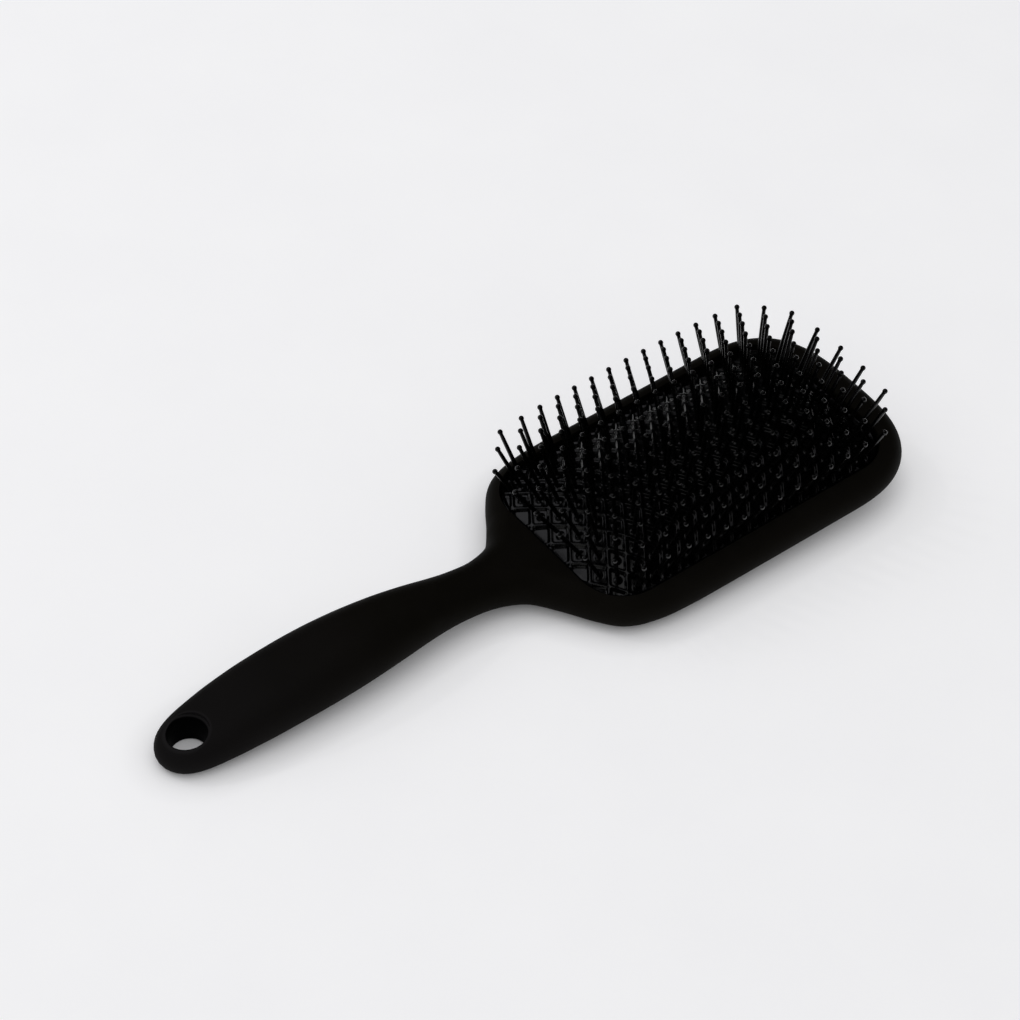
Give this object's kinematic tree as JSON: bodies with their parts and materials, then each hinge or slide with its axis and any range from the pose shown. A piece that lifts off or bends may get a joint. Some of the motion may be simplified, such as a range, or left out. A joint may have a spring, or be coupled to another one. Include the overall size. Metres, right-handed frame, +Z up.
{
  "type": "paddle hair brush",
  "caption": "Flat paddle hair brush with a domed rubber air cushion, ball-tipped pins in staggered rows, a slim contoured handle and a hang hole.",
  "frame": {"origin": "middle of the footprint, on the surface that the brush lies on", "axes": "+X along the brush towards the far end of the head, +Y across it, +Z up; the pins point up"},
  "size_m": [0.2452, 0.0738, 0.0385],
  "materials": {
    "soft_touch_black": "soft-touch rubberised coat over moulded plastic, matte black",
    "cushion_rubber": "moulded black rubber, satin, with a raised diamond lattice",
    "pin_nylon": "glossy black nylon",
    "frame_plastic": "plain moulded plastic, hidden inside"
  },
  "bodies": {
    "root": {"front_shell": "soft_touch_black", "back_shell": "soft_touch_black", "clamp_frame": "frame_plastic"},
    "cushion_body": {"cushion": "cushion_rubber"},
    "pin_row_01": {"pin_strip_01_handle_end": "pin_nylon", "pin_strip_01_far_end": "pin_nylon"},
    "pin_row_02": {"pin_strip_02_handle_end": "pin_nylon", "pin_strip_02_far_end": "pin_nylon"},
    "pin_row_03": {"pin_strip_03_handle_end": "pin_nylon", "pin_strip_03_far_end": "pin_nylon"},
    "pin_row_04": {"pin_strip_04_handle_end": "pin_nylon", "pin_strip_04_far_end": "pin_nylon"},
    "pin_row_05": {"pin_strip_05_handle_end": "pin_nylon", "pin_strip_05_far_end": "pin_nylon"},
    "pin_row_06": {"pin_strip_06_handle_end": "pin_nylon", "pin_strip_06_far_end": "pin_nylon"},
    "pin_row_07": {"pin_strip_07_handle_end": "pin_nylon", "pin_strip_07_far_end": "pin_nylon"},
    "pin_row_08": {"pin_strip_08_handle_end": "pin_nylon", "pin_strip_08_far_end": "pin_nylon"},
    "pin_row_09": {"pin_strip_09_handle_end": "pin_nylon", "pin_strip_09_far_end": "pin_nylon"},
    "pin_row_10": {"pin_strip_10_handle_end": "pin_nylon", "pin_strip_10_far_end": "pin_nylon"},
    "pin_row_11": {"pin_strip_11_handle_end": "pin_nylon", "pin_strip_11_far_end": "pin_nylon"},
    "pin_row_12": {"pin_strip_12_handle_end": "pin_nylon", "pin_strip_12_far_end": "pin_nylon"},
    "pin_row_13": {"pin_strip_13_handle_end": "pin_nylon", "pin_strip_13_far_end": "pin_nylon"}
  },
  "joints": [
    {"name": "cushion_press", "type": "slide", "parent": "root", "child": "cushion_body", "axis": [0.055, 0, -0.9985], "range_m": [0, 0.0025], "stiffness_N_per_m": 2500, "deforming": ["cushion"]},
    {"name": "pin_row_01_tilt", "type": "hinge", "parent": "cushion_body", "child": "pin_row_01", "pos_m": [0.05901, 0.02718, 0.01375], "axis": [0.9985, 0, 0.055], "range_deg": [-8, 8], "stiffness_Nm_per_rad": 0.12},
    {"name": "pin_row_02_tilt", "type": "hinge", "parent": "cushion_body", "child": "pin_row_02", "pos_m": [0.05887, 0.02265, 0.01614], "axis": [0.9985, 0, 0.055], "range_deg": [-8, 8], "stiffness_Nm_per_rad": 0.12},
    {"name": "pin_row_03_tilt", "type": "hinge", "parent": "cushion_body", "child": "pin_row_03", "pos_m": [0.05877, 0.01812, 0.01796], "axis": [0.9985, 0, 0.055], "range_deg": [-8, 8], "stiffness_Nm_per_rad": 0.12},
    {"name": "pin_row_04_tilt", "type": "hinge", "parent": "cushion_body", "child": "pin_row_04", "pos_m": [0.0587, 0.01359, 0.01926], "axis": [0.9985, 0, 0.055], "range_deg": [-8, 8], "stiffness_Nm_per_rad": 0.12},
    {"name": "pin_row_05_tilt", "type": "hinge", "parent": "cushion_body", "child": "pin_row_05", "pos_m": [0.05866, 0.00906, 0.02008], "axis": [0.9985, 0, 0.055], "range_deg": [-8, 8], "stiffness_Nm_per_rad": 0.12},
    {"name": "pin_row_06_tilt", "type": "hinge", "parent": "cushion_body", "child": "pin_row_06", "pos_m": [0.05863, 0.00453, 0.0205], "axis": [0.9985, 0, 0.055], "range_deg": [-8, 8], "stiffness_Nm_per_rad": 0.12},
    {"name": "pin_row_07_tilt", "type": "hinge", "parent": "cushion_body", "child": "pin_row_07", "pos_m": [0.05863, 0, 0.0206], "axis": [0.9985, 0, 0.055], "range_deg": [-8, 8], "stiffness_Nm_per_rad": 0.12},
    {"name": "pin_row_08_tilt", "type": "hinge", "parent": "cushion_body", "child": "pin_row_08", "pos_m": [0.05863, -0.00453, 0.0205], "axis": [0.9985, 0, 0.055], "range_deg": [-8, 8], "stiffness_Nm_per_rad": 0.12},
    {"name": "pin_row_09_tilt", "type": "hinge", "parent": "cushion_body", "child": "pin_row_09", "pos_m": [0.05866, -0.00906, 0.02008], "axis": [0.9985, 0, 0.055], "range_deg": [-8, 8], "stiffness_Nm_per_rad": 0.12},
    {"name": "pin_row_10_tilt", "type": "hinge", "parent": "cushion_body", "child": "pin_row_10", "pos_m": [0.0587, -0.01359, 0.01926], "axis": [0.9985, 0, 0.055], "range_deg": [-8, 8], "stiffness_Nm_per_rad": 0.12},
    {"name": "pin_row_11_tilt", "type": "hinge", "parent": "cushion_body", "child": "pin_row_11", "pos_m": [0.05877, -0.01812, 0.01796], "axis": [0.9985, 0, 0.055], "range_deg": [-8, 8], "stiffness_Nm_per_rad": 0.12},
    {"name": "pin_row_12_tilt", "type": "hinge", "parent": "cushion_body", "child": "pin_row_12", "pos_m": [0.05887, -0.02265, 0.01614], "axis": [0.9985, 0, 0.055], "range_deg": [-8, 8], "stiffness_Nm_per_rad": 0.12},
    {"name": "pin_row_13_tilt", "type": "hinge", "parent": "cushion_body", "child": "pin_row_13", "pos_m": [0.05901, -0.02718, 0.01375], "axis": [0.9985, 0, 0.055], "range_deg": [-8, 8], "stiffness_Nm_per_rad": 0.12}
  ]
}
